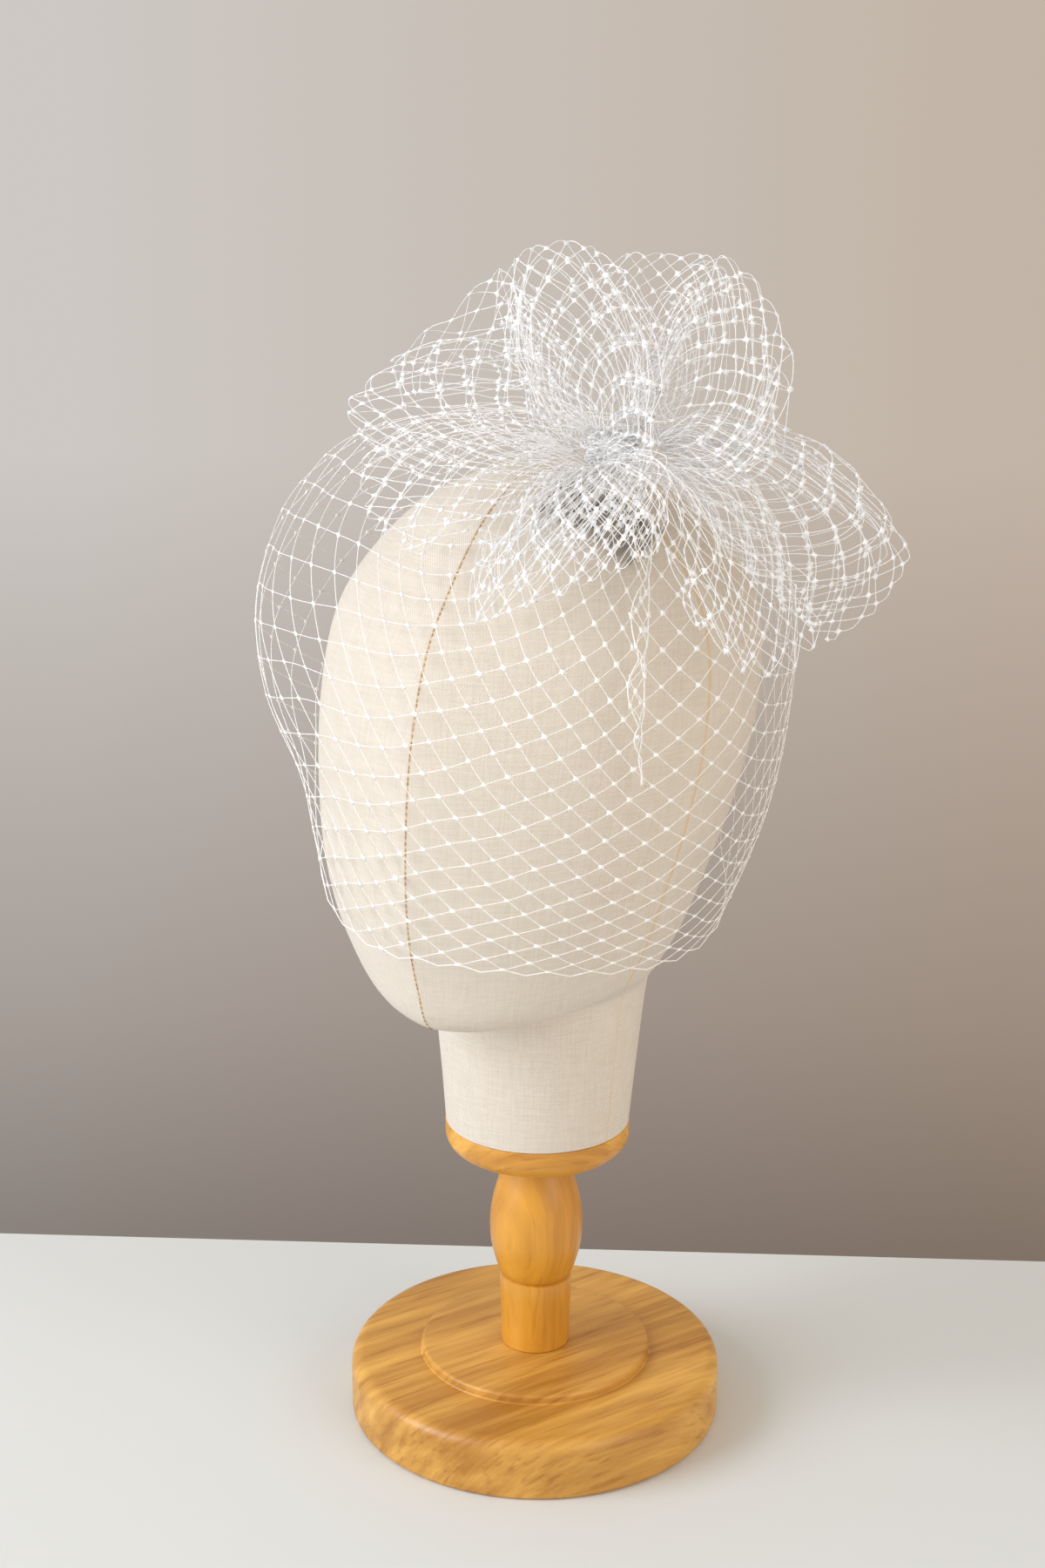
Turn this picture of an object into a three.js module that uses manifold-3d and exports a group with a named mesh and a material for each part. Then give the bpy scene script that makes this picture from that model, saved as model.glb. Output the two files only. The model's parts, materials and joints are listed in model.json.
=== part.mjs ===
// Birdcage bridal veil of open diamond net with a rosette of net loops,
// on a linen head form with a turned wooden stand.
// Millimetres, +Z up. The origin is the centre of the base's underside.
// The face of the form looks along -Y, so the wearer's left is +X.
// The net is a plain wall of the cloth's shape.
import * as THREE from "three";
import { mergeVertices } from "three/addons/utils/BufferGeometryUtils.js";
import Module from "manifold-3d";

const wasm = await Module();
wasm.setup();

// Driving dimensions
const SEAM_GAP = 0.3;
const NET_WALL = 1.0;
const LATHE_SIDES = 40;
const BASE = { radius: 80, thickness: 26, topRound: 7, footRound: 2.5 };
const STEP = { radius: 49.5, height: 4, round: 1.6 };
const COLLAR = { radius: 39, bottomZ: 121.5, topZ: 134.7, round: 8, bottomRadius: 29 };
const HEAD = { around: 32, rowsPerSection: 2, keelPower: 4 };
const CAGE = {
  around: 40,
  rowsPerRing: 2,
  pleats: 10,
  pleatReach: 90,
  seamShare: 0.16,
};
const LOOP = {
  along: 18,
  across: 8,
  rootGap: 1.1,
  rootHalf: 3,
  rootOpen: 0.25,
  endTrim: 0.035,
  step: 0.02,
};
const KNOT = { centre: [27, -38, 420], radius: 5, halfLength: 12, sides: 12 };
const COMB = {
  length: 42,
  spine: 4,
  tooth: 24,
  toothWidth: 1.8,
  teeth: 9,
  thickness: 1.8,
  lift: 3.0,
  headRadius: 86,
};

// Turned post: radius at each height, from the step up to the collar.
const POST_PROFILE = [
  { z: BASE.thickness + STEP.height + SEAM_GAP, radius: 14.7 },
  { z: 45, radius: 15.0 },
  { z: 60.5, radius: 15.6 },
  { z: 62.5, radius: 15.1 },
  { z: 64.5, radius: 16.1 },
  { z: 69, radius: 17.5 },
  { z: 77, radius: 19.4 },
  { z: 85, radius: 20.0 },
  { z: 93.5, radius: 19.4 },
  { z: 101.5, radius: 17.7 },
  { z: 110, radius: 15.2 },
  { z: COLLAR.bottomZ - SEAM_GAP, radius: 12.5 },
];

// Head form: how far its front, side and back profiles stand from the axis, each at its own height.
// sideY is how far behind the axis the widest point lies.
// keel is how sharply the two face panels meet at the front seam.
const HEAD_SECTIONS = [
  {
    at: "neck hem", sideY: 0, keel: 0,
    front: 38.8, frontZ: 135, side: 38.8, sideZ: 135, back: 38.8, backZ: 135,
  },
  {
    at: "neck", sideY: 0, keel: 0,
    front: 40.5, frontZ: 165, side: 41.5, sideZ: 165, back: 42, backZ: 165,
  },
  {
    at: "under jaw", sideY: -1, keel: 0,
    front: 43, frontZ: 192, side: 45, sideZ: 196, back: 46, backZ: 198,
  },
  {
    at: "jaw crease", sideY: -4, keel: 0.03,
    front: 49, frontZ: 197, side: 49, sideZ: 205, back: 47.5, backZ: 214,
  },
  {
    at: "jaw edge", sideY: -14, keel: 0.1,
    front: 80, frontZ: 201, side: 58, sideZ: 215, back: 49, backZ: 228,
  },
  {
    at: "chin", sideY: -20, keel: 0.15,
    front: 90, frontZ: 221, side: 69, sideZ: 233, back: 53, backZ: 243,
  },
  {
    at: "cheek", sideY: -18, keel: 0.16,
    front: 96.5, frontZ: 248, side: 77, sideZ: 257, back: 62, backZ: 260,
  },
  {
    at: "cheekbone", sideY: -11, keel: 0.16,
    front: 97.5, frontZ: 280, side: 83, sideZ: 284, back: 77, backZ: 284,
  },
  {
    at: "temple", sideY: -3, keel: 0.15,
    front: 94, frontZ: 315, side: 86.5, sideZ: 318, back: 92, backZ: 318,
  },
  {
    at: "brow", sideY: 1, keel: 0.14,
    front: 84, frontZ: 348, side: 84, sideZ: 351, back: 95, backZ: 350,
  },
  {
    at: "forehead", sideY: 3, keel: 0.1,
    front: 68, frontZ: 371, side: 73, sideZ: 374, back: 86, backZ: 375,
  },
  {
    at: "crown edge", sideY: 4, keel: 0.05,
    front: 45, frontZ: 394, side: 51, sideZ: 396, back: 62, backZ: 397,
  },
  {
    at: "crown", sideY: 5, keel: 0,
    front: 19, frontZ: 409, side: 24, sideZ: 409.5, back: 33, backZ: 409.5,
  },
];
const HEAD_TOP = { y: 6, z: 412 };

// Cage of the veil: rings from the hem up to the gather.
// Each is given by where it crosses the front, left, back and right.
// browBulge and napeBulge are the shares by which it stands out between front and right, and back and left.
const CAGE_RINGS = [
  {
    at: "hem", midX: 0, midY: -18, pleat: 0.2, browBulge: -0.02, napeBulge: 0.015,
    front: -99, frontZ: 237.5, left: 80, leftZ: 231, back: 78, backZ: 268, right: -80.5, rightZ: 262,
  },
  {
    at: "cheek", midX: 0, midY: -12, pleat: 0.2, browBulge: -0.005, napeBulge: 0.015,
    front: -100.5, frontZ: 256, left: 88, leftZ: 254, back: 90, backZ: 288, right: -84, rightZ: 276,
  },
  {
    at: "ear", midX: 0, midY: -5, pleat: 0.3, browBulge: 0.005, napeBulge: 0.015,
    front: -102, frontZ: 286, left: 94, leftZ: 285, back: 102, backZ: 311, right: -92.5, rightZ: 297,
  },
  {
    at: "temple", midX: 0, midY: 0, pleat: 0.5, browBulge: 0.05, napeBulge: 0.015,
    front: -99.5, frontZ: 320, left: 97, leftZ: 321, back: 112, backZ: 337, right: -111, rightZ: 324,
  },
  {
    at: "brow", midX: 0, midY: 2, pleat: 0.8, browBulge: 0.065, napeBulge: 0.015,
    front: -88.5, frontZ: 352, left: 95.5, leftZ: 354, back: 113, backZ: 364, right: -120, rightZ: 358,
  },
  {
    at: "forehead", midX: 2, midY: 3, pleat: 1.2, browBulge: 0.05, napeBulge: 0.015,
    front: -66, frontZ: 382, left: 86, leftZ: 382, back: 104, backZ: 393, right: -115, rightZ: 389,
  },
  {
    at: "crown edge", midX: 15, midY: 0, pleat: 1.4, browBulge: 0.03, napeBulge: 0.01,
    front: -48, frontZ: 403, left: 74, leftZ: 402, back: 78, backZ: 419, right: -86, rightZ: 418,
  },
  {
    at: "crown", midX: 30, midY: -7, pleat: 1.2, browBulge: 0, napeBulge: 0,
    front: -38, frontZ: 412, left: 65, leftZ: 411, back: 36, backZ: 428, right: -34, rightZ: 429,
  },
  {
    at: "gather", midX: 47, midY: -16, pleat: 0, browBulge: 0, napeBulge: 0,
    front: -29.5, frontZ: 413, left: 63, leftZ: 412, back: -5, backZ: 416, right: 30, rightZ: 416,
  },
];
// The net is worn in two stretches.
// They meet at the tuck by the wearer's left cheek and behind the right ear.
const CAGE_STRETCHES = [
  { name: "veil_front", fromDeg: -128, toDeg: 52.5 },
  { name: "veil_back", fromDeg: 52.5, toDeg: 232 },
];

// Rosette loops, in the rosette's own frame: along the comb, behind it and up.
// Each runs from its root at the gather past its bend to its folded edge and back.
// The edge is given by points from one side of the loop to the other.
// spread is how far the bend fans out with the edge, and open is half the gap between the layers.
const ROSETTE_TURN_DEG = 31.6;
const LOOPS = [
  {
    name: "loop_top", root: [22, -40, 427.5], bend: [12, -43, 460], spread: 0.75, open: 11,
    edge: [
      [-11, -30, 471], [-14, -26, 485], [-7, -24, 494], [7, -26, 498],
      [21.5, -28, 492], [33, -32, 475], [36, -37, 457],
    ],
  },
  {
    name: "loop_top_left", root: [38, -34.5, 428.5], bend: [69, -42, 458.5], spread: 0.77, open: 11,
    edge: [
      [48, -30, 460], [53, -26, 478], [64, -24, 492], [77.5, -28, 485],
      [86, -33, 468], [87.5, -38, 449], [83, -42, 435],
    ],
  },
  {
    name: "loop_back_left", root: [32, -28, 424], bend: [44, 0, 460], spread: 0.55, open: 8,
    edge: [[21.5, 14, 487], [37, 20, 491], [54, 22, 491], [68.5, 20, 487], [76, 14, 474]],
  },
  {
    name: "loop_back_right", root: [17, -29, 424], bend: [-8, 0, 452], spread: 0.55, open: 8,
    edge: [[-60, 20, 449], [-40.5, 24, 465], [-22, 26, 481], [-14, 26, 480], [-5, 20, 471]],
  },
  {
    name: "loop_right", root: [8, -38, 423], bend: [-30.5, -39.5, 443], spread: 0.61, open: 10,
    edge: [
      [-20, -18, 459], [-37, -24, 456.5], [-57, -30, 453.5], [-72, -34, 442],
      [-72.5, -40, 432], [-63.5, -46, 422],
    ],
  },
  {
    name: "loop_brow", root: [12, -49, 417], bend: [-26, -70, 427], spread: 0.55, open: 6,
    edge: [[-65, -52, 421], [-68, -56, 413], [-66, -62, 401.5], [-59, -66, 393], [-48, -72, 386.5]],
  },
  {
    name: "loop_left", root: [44, -41, 421], bend: [86, -50, 418], spread: 0.3, open: 7.5,
    edge: [
      [94, -35, 420], [108.5, -38, 418], [124.5, -44, 403], [137, -49, 386],
      [126, -54, 367.5], [107.5, -60, 353.5],
    ],
  },
  {
    name: "loop_temple", root: [38, -48, 417], bend: [62, -92, 414], spread: 0.55, open: 6,
    edge: [[103, -68, 354], [89.5, -76, 347], [77, -84, 345], [64.5, -92, 355.5], [52, -98, 369.5]],
  },
  {
    name: "loop_forehead", root: [25, -49, 417], bend: [8, -88, 418], spread: 0.55, open: 7,
    edge: [
      [-20, -84, 387.5], [-26.5, -94, 367], [-10.5, -100, 372], [7, -104, 380],
      [25, -104, 388], [40, -98, 393.5],
    ],
  },
];

const MATERIALS = {
  net: new THREE.MeshStandardMaterial({ color: 0xf7f7f8, roughness: 0.5, metalness: 0 }),
  linen: new THREE.MeshStandardMaterial({ color: 0xe4d6bf, roughness: 0.9, metalness: 0 }),
  wood: new THREE.MeshStandardMaterial({ color: 0xd09a4a, roughness: 0.45, metalness: 0 }),
  comb: new THREE.MeshStandardMaterial({ color: 0x55524e, roughness: 0.35, metalness: 0.8 }),
};

const vec = (x, y, z) => new THREE.Vector3(x, y, z);

// Smooth value through the rows of a table's column; place runs from 0 to the last row.
function along(rows, column, place) {
  const last = rows.length - 1;
  const i = Math.min(Math.floor(place), last - 1);
  const t = place - i;
  const at = (k) => rows[Math.min(Math.max(k, 0), last)][column];
  const [a, b, c, d] = [at(i - 1), at(i), at(i + 1), at(i + 2)];
  return b + 0.5 * t * (c - a + t * (2 * a - 5 * b + 4 * c - d + t * (3 * (b - c) + d - a)));
}

// Triangles of a grid of points, rows by columns, wrapped across its columns if closed.
function gridFaces(rows, columns, closed, start, flip) {
  const faces = [];
  const spans = closed ? columns : columns - 1;
  for (let r = 0; r < rows - 1; r++) {
    for (let c = 0; c < spans; c++) {
      const next = (c + 1) % columns;
      const [a, b] = [start + r * columns + c, start + r * columns + next];
      const [d, e] = [a + columns, b + columns];
      faces.push(...(flip ? [a, b, e, a, e, d] : [a, e, b, a, d, e]));
    }
  }
  return faces;
}

// Geometry from points and triangles, with its faces turned outwards.
function solid(points, faces) {
  let volume = 0;
  for (let i = 0; i < faces.length; i += 3) {
    const [a, b, c] = [points[faces[i]], points[faces[i + 1]], points[faces[i + 2]]];
    volume += a.dot(b.clone().cross(c));
  }
  if (volume < 0) faces.reverse();
  const flat = new Float32Array(points.flatMap((p) => [p.x, p.y, p.z]));
  const geometry = new THREE.BufferGeometry();
  geometry.setAttribute("position", new THREE.BufferAttribute(flat, 3));
  geometry.setIndex(faces);
  geometry.computeVertexNormals();
  return geometry;
}

// Cloth wall: the sheet place(u, v), u and v from 0 to 1, thickened evenly to both sides.
function wall(place, across, down, thickness) {
  const step = 1e-3;
  const sides = [[], []];
  for (let r = 0; r <= down; r++) {
    for (let c = 0; c <= across; c++) {
      const [u, v] = [c / across, r / down];
      const alongU = place(Math.min(u + step, 1), v).sub(place(Math.max(u - step, 0), v));
      const alongV = place(u, Math.min(v + step, 1)).sub(place(u, Math.max(v - step, 0)));
      const out = alongU.cross(alongV).normalize().multiplyScalar(thickness / 2);
      sides[0].push(place(u, v).add(out));
      sides[1].push(place(u, v).sub(out));
    }
  }
  const [rows, columns] = [down + 1, across + 1];
  const count = rows * columns;
  const faces = gridFaces(rows, columns, false, 0, false);
  faces.push(...gridFaces(rows, columns, false, count, true));
  const rim = [];
  for (let c = 0; c < columns - 1; c++) rim.push(c);
  for (let r = 0; r < rows - 1; r++) rim.push(r * columns + columns - 1);
  for (let c = columns - 1; c > 0; c--) rim.push((rows - 1) * columns + c);
  for (let r = rows - 1; r > 0; r--) rim.push(r * columns);
  rim.forEach((a, i) => {
    const b = rim[(i + 1) % rim.length];
    faces.push(a, b, b + count, a, b + count, a + count);
  });
  return solid([...sides[0], ...sides[1]], faces);
}

function lathe(profile, sides) {
  const geometry = new THREE.LatheGeometry(profile.map(([r, z]) => new THREE.Vector2(r, z)), sides);
  return geometry.rotateX(Math.PI / 2);
}

// Points of a quarter round from one end to the other about a centre, angles in degrees.
function quarter(centreR, centreZ, radius, fromDeg, toDeg, steps = 4) {
  return Array.from({ length: steps + 1 }, (_, i) => {
    const turn = THREE.MathUtils.degToRad(fromDeg + ((toDeg - fromDeg) * i) / steps);
    return [centreR + radius * Math.cos(turn), centreZ + radius * Math.sin(turn)];
  });
}

function standBase() {
  const { radius, thickness, topRound, footRound } = BASE;
  const stepTop = thickness + STEP.height;
  return lathe(
    [
      [0, 0],
      ...quarter(radius - footRound, footRound, footRound, -90, 0, 2),
      ...quarter(radius - topRound, thickness - topRound, topRound, 0, 90),
      [STEP.radius, thickness],
      ...quarter(STEP.radius - STEP.round, stepTop - STEP.round, STEP.round, 0, 90, 2),
      [0, stepTop],
    ],
    LATHE_SIDES,
  );
}

function standPost() {
  const [first, last] = [POST_PROFILE[0], POST_PROFILE.at(-1)];
  return lathe([[0, first.z], ...POST_PROFILE.map((p) => [p.radius, p.z]), [0, last.z]], LATHE_SIDES / 2);
}

function standCollar() {
  const { radius, bottomZ, topZ, round, bottomRadius } = COLLAR;
  return lathe(
    [
      [0, bottomZ],
      [bottomRadius, bottomZ],
      ...quarter(radius - round, bottomZ + round, round, -80, 0),
      [radius, topZ],
      [0, topZ],
    ],
    LATHE_SIDES,
  );
}

// A point of the head form's skin; turn 0 is the face, 90 degrees the wearer's left.
function headSkin(place, turn) {
  const col = (name) => along(HEAD_SECTIONS, name, place);
  const [s, c] = [Math.sin(turn), Math.cos(turn)];
  const sideY = col("sideY");
  const fore = c > 0;
  const reach = fore ? col("front") + sideY : col("back") - sideY;
  const endZ = fore ? col("frontZ") : col("backZ");
  const keel = fore ? col("keel") * Math.abs(s) * c ** HEAD.keelPower : 0;
  return vec(col("side") * s, sideY - reach * (c - keel), endZ * c * c + col("sideZ") * s * s);
}

function headForm() {
  const rows = (HEAD_SECTIONS.length - 1) * HEAD.rowsPerSection + 1;
  const points = [];
  for (let r = 0; r < rows; r++) {
    for (let c = 0; c < HEAD.around; c++) {
      points.push(headSkin(r / HEAD.rowsPerSection, (2 * Math.PI * c) / HEAD.around));
    }
  }
  const faces = gridFaces(rows, HEAD.around, true, 0, false);
  const [bottom, top] = [points.length, points.length + 1];
  points.push(vec(0, 0, HEAD_SECTIONS[0].frontZ), vec(0, HEAD_TOP.y, HEAD_TOP.z));
  const lastRow = (rows - 1) * HEAD.around;
  for (let c = 0; c < HEAD.around; c++) {
    const next = (c + 1) % HEAD.around;
    faces.push(bottom, c, next, top, lastRow + next, lastRow + c);
  }
  return solid(points, faces);
}

// A point of the veil's cage; place counts rings up from the hem.
function cageNet(place, turn) {
  const col = (name) => along(CAGE_RINGS, name, place);
  const [s, c] = [Math.sin(turn), Math.cos(turn)];
  const [midX, midY] = [col("midX"), col("midY")];
  const reachX = s > 0 ? col("left") - midX : midX - col("right");
  const reachY = c > 0 ? midY - col("front") : col("back") - midY;
  const endZ = c > 0 ? col("frontZ") : col("backZ");
  const sideZ = s > 0 ? col("leftZ") : col("rightZ");
  const corner = s * c < 0 ? Math.sin(2 * turn) ** 2 : 0;
  const bulge = corner * (c > 0 ? col("browBulge") : col("napeBulge"));
  const grow = 1 + bulge + (col("pleat") / CAGE.pleatReach) * Math.cos(CAGE.pleats * turn);
  return vec(midX + reachX * s * grow, midY - reachY * c * grow, endZ * c * c + sideZ * s * s);
}

function cageStretch({ fromDeg, toDeg }) {
  const rows = CAGE_RINGS.length - 1;
  const [from, to] = [fromDeg, toDeg].map(THREE.MathUtils.degToRad);
  const share = (to - from) / (2 * Math.PI);
  const place = (u, v) => {
    const reach = along(CAGE_RINGS, "left", v * rows) - along(CAGE_RINGS, "midX", v * rows);
    const inset = (SEAM_GAP * (0.5 - u)) / (reach * CAGE.seamShare);
    return cageNet(v * rows, from + (to - from) * u + inset);
  };
  return wall(place, Math.round(CAGE.around * share), rows * CAGE.rowsPerRing, NET_WALL);
}

// A loop of the rosette: u goes out along the front layer and back along the rear one, v goes across.
function rosetteLoop({ root, bend, spread, open, edge }) {
  const last = edge.length - 1;
  const foldAt = (v) => vec(...[0, 1, 2].map((axis) => along(edge, axis, v * last)));
  const middle = foldAt(0.5);
  const sideways = foldAt(1).sub(foldAt(0)).normalize();
  const place = (u, v) => {
    const loop = LOOP.endTrim + (1 - 2 * LOOP.endTrim) * u;
    const reach = 0.5 - 0.5 * Math.cos(2 * Math.PI * loop);
    const fold = foldAt(v);
    const start = vec(...root).addScaledVector(sideways, LOOP.rootHalf * (2 * v - 1));
    const turnAt = vec(...bend).addScaledVector(fold.clone().sub(middle), spread);
    const spine = new THREE.QuadraticBezierCurve3(start, turnAt, fold);
    const edgeway = foldAt(Math.min(v + LOOP.step, 1)).sub(foldAt(Math.max(v - LOOP.step, 0)));
    const out = spine.getTangent(reach).cross(edgeway).normalize();
    const opened = LOOP.rootOpen + (1 - LOOP.rootOpen) * reach;
    const gap = open * opened * Math.sin(2 * Math.PI * loop) + LOOP.rootGap * Math.cos(Math.PI * loop);
    return spine.getPoint(reach).addScaledVector(out, gap);
  };
  return wall(place, LOOP.along, LOOP.across, NET_WALL);
}

function gatherKnot() {
  const { centre, radius, halfLength, sides } = KNOT;
  const profile = quarter(0, 0, 1, -90, 90, 8).map(([r, z]) => [r * radius, z * halfLength]);
  return lathe(profile, sides).rotateY(Math.PI / 2).translate(...centre);
}

// Where the comb lies on the head form: its spine runs down to the left and its teeth reach to the front.
const COMB_PLACE = {
  point: vec(40.1, -13.9, 399.8),
  out: vec(0.42, -0.233, 0.877).normalize(),
  spine: vec(0.75, 0.1, -0.35),
};

// A bar of the comb over a patch of the head, from a to b along the spine and from c to d along the teeth.
function combBar(a, b, c, d, acrossSteps, downSteps) {
  const { point, out, spine } = COMB_PLACE;
  const alongSpine = spine.clone().addScaledVector(out, -spine.dot(out)).normalize();
  const alongTeeth = alongSpine.clone().cross(out);
  const place = (u, v) => {
    const [s, t] = [a + (b - a) * u, c + (d - c) * v];
    const lift = COMB.lift - (s * s + t * t) / (2 * COMB.headRadius);
    return point
      .clone()
      .addScaledVector(alongSpine, s)
      .addScaledVector(alongTeeth, t)
      .addScaledVector(out, lift);
  };
  return wall(place, acrossSteps, downSteps, COMB.thickness);
}

function toManifold(geometry) {
  const bare = new THREE.BufferGeometry();
  bare.setAttribute("position", geometry.getAttribute("position"));
  bare.setIndex(geometry.index);
  const merged = mergeVertices(bare, 1e-3);
  const vertProperties = merged.attributes.position.array;
  const triVerts = new Uint32Array(merged.index.array);
  return new wasm.Manifold(new wasm.Mesh({ numProp: 3, vertProperties, triVerts }));
}

function comb() {
  const { length, spine, tooth, toothWidth, teeth } = COMB;
  let joined = toManifold(combBar(-length / 2, length / 2, 0, spine, 6, 1));
  for (let i = 0; i < teeth; i++) {
    const middle = (length - toothWidth) * (i / (teeth - 1) - 0.5);
    const bar = combBar(middle - toothWidth / 2, middle + toothWidth / 2, spine / 2, tooth, 1, 4);
    joined = joined.add(toManifold(bar));
  }
  const mesh = joined.getMesh();
  const geometry = new THREE.BufferGeometry();
  geometry.setAttribute("position", new THREE.BufferAttribute(mesh.vertProperties, 3));
  geometry.setIndex(new THREE.BufferAttribute(mesh.triVerts, 1));
  geometry.computeVertexNormals();
  return geometry;
}

function node(name, geometry, material) {
  const mesh = new THREE.Mesh(geometry, material);
  mesh.name = name;
  return mesh;
}

const stand = new THREE.Group();
stand.add(node("stand_base", standBase(), MATERIALS.wood));
stand.add(node("stand_post", standPost(), MATERIALS.wood));
stand.add(node("stand_collar", standCollar(), MATERIALS.wood));
stand.add(node("head_form", headForm(), MATERIALS.linen));

const veil = new THREE.Group();
for (const stretch of CAGE_STRETCHES) veil.add(node(stretch.name, cageStretch(stretch), MATERIALS.net));
const turn = THREE.MathUtils.degToRad(ROSETTE_TURN_DEG);
for (const loop of LOOPS) veil.add(node(loop.name, rosetteLoop(loop).rotateZ(turn), MATERIALS.net));
veil.add(node("gather_knot", gatherKnot().rotateZ(turn), MATERIALS.net));
veil.add(node("comb", comb(), MATERIALS.comb));

const part = new THREE.Group();
part.add(stand, veil);

export default part;
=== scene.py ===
import bpy, bmesh, json, math, random
from mathutils import Matrix, Vector, noise

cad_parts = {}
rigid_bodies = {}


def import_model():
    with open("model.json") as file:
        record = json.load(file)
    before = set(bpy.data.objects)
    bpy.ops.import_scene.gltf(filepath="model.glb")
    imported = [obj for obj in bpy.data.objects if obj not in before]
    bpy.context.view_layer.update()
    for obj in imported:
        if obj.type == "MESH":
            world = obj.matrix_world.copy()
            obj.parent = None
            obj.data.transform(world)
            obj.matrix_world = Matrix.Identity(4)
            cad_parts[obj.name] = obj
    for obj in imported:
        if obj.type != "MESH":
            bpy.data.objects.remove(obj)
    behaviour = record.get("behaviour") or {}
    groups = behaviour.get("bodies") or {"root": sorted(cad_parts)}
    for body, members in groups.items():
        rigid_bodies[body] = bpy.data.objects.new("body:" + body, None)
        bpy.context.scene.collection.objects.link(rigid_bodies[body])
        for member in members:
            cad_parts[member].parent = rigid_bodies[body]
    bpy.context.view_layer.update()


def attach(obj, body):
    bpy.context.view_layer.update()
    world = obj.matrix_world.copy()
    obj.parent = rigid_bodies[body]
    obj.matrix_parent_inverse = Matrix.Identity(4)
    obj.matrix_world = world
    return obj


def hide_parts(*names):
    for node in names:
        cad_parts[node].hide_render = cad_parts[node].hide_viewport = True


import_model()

mm = 0.001
weld = 1e-6  # points nearer than this become one
rosetteTurn = math.radians(31.6)
noise.seed_set(7)  # the vector noise is the same on every run


def toLinear(r, g, b):  # a screen colour as the linear colour that shaders take
    shares = [c / 255 for c in (r, g, b)]
    return tuple(s / 12.92 if s < 0.0404 else ((s + 0.055) / 1.055) ** 2.4 for s in shares) + (1,)


def placeObject(name, bm, slot, *nodes):
    mesh = bpy.data.meshes.new(name)
    bm.to_mesh(mesh)
    bm.free()
    piece = bpy.data.objects.new(name, mesh)
    bpy.context.scene.collection.objects.link(piece)
    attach(piece, "root")
    if nodes:
        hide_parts(*nodes)
    return piece


def newMaterial(name, **values):
    material = bpy.data.materials.new(name)
    material.use_nodes = True
    shader = material.node_tree.nodes["Principled BSDF"]
    for socket, value in values.items():
        shader.inputs[socket.replace("_", " ")].default_value = value
    return material, material.node_tree, shader


def addNode(tree, kind, **settings):
    node = tree.nodes.new(kind)
    for key, value in settings.items():
        if key in node.inputs:
            node.inputs[key].default_value = value
        else:
            setattr(node, key, value)
    return node


def rampOf(tree, factor, stops):
    ramp = addNode(tree, "ShaderNodeValToRGB")
    while len(ramp.color_ramp.elements) < len(stops):
        ramp.color_ramp.elements.new(0.5)
    for element, (place, colour) in zip(ramp.color_ramp.elements, stops):
        element.position = place
        element.color = colour
    tree.links.new(factor, ramp.inputs["Fac"])
    return ramp


def mathNode(tree, operation, a, b=None):
    node = addNode(tree, "ShaderNodeMath", operation=operation)
    for socket, value in zip(node.inputs, (a, b)):
        if value is None:
            continue
        if hasattr(value, "is_output"):
            tree.links.new(value, socket)
        else:
            socket.default_value = value
    return node.outputs[0]


def bumpInto(tree, shader, height, strength, distance):
    bump = addNode(tree, "ShaderNodeBump", Strength=strength, Distance=distance)
    tree.links.new(height, bump.inputs["Height"])
    tree.links.new(bump.outputs["Normal"], shader.inputs["Normal"])


def rangeNode(tree, value, fromMin=0.0, fromMax=1.0, toMin=0.0, toMax=1.0):
    node = addNode(tree, "ShaderNodeMapRange")
    limits = (("From Min", fromMin), ("From Max", fromMax), ("To Min", toMin), ("To Max", toMax))
    for key, limit in limits:
        node.inputs[key].default_value = limit
    tree.links.new(value, node.inputs["Value"])
    return node.outputs[0]


def mixNode(tree, factor, a, b, blend="MIX"):
    node = addNode(tree, "ShaderNodeMix", data_type="RGBA", blend_type=blend)
    for key, value in (("Factor", factor), ("A", a), ("B", b)):
        if hasattr(value, "is_output"):
            tree.links.new(value, node.inputs[key])
        else:
            node.inputs[key].default_value = value
    return node.outputs["Result"]


grainLook = dict(  # broad streaks, finer ones among them, and short dark pores
    stretch=(0.06, 1.0, 0.3),
    broad=dict(Scale=38.0, Detail=3.0, Roughness=0.55, Distortion=0.6),
    fine=dict(Scale=190.0, Detail=4.0, Roughness=0.6),
    pores=dict(Scale=520.0, Detail=2.0, Roughness=0.5),
    broadShare=0.55, fineShare=0.45, tones=(0.38, 0.64),
    poreTones=(0.56, 0.68), poreDark=0.3, poreHeight=0.35,
)


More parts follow.
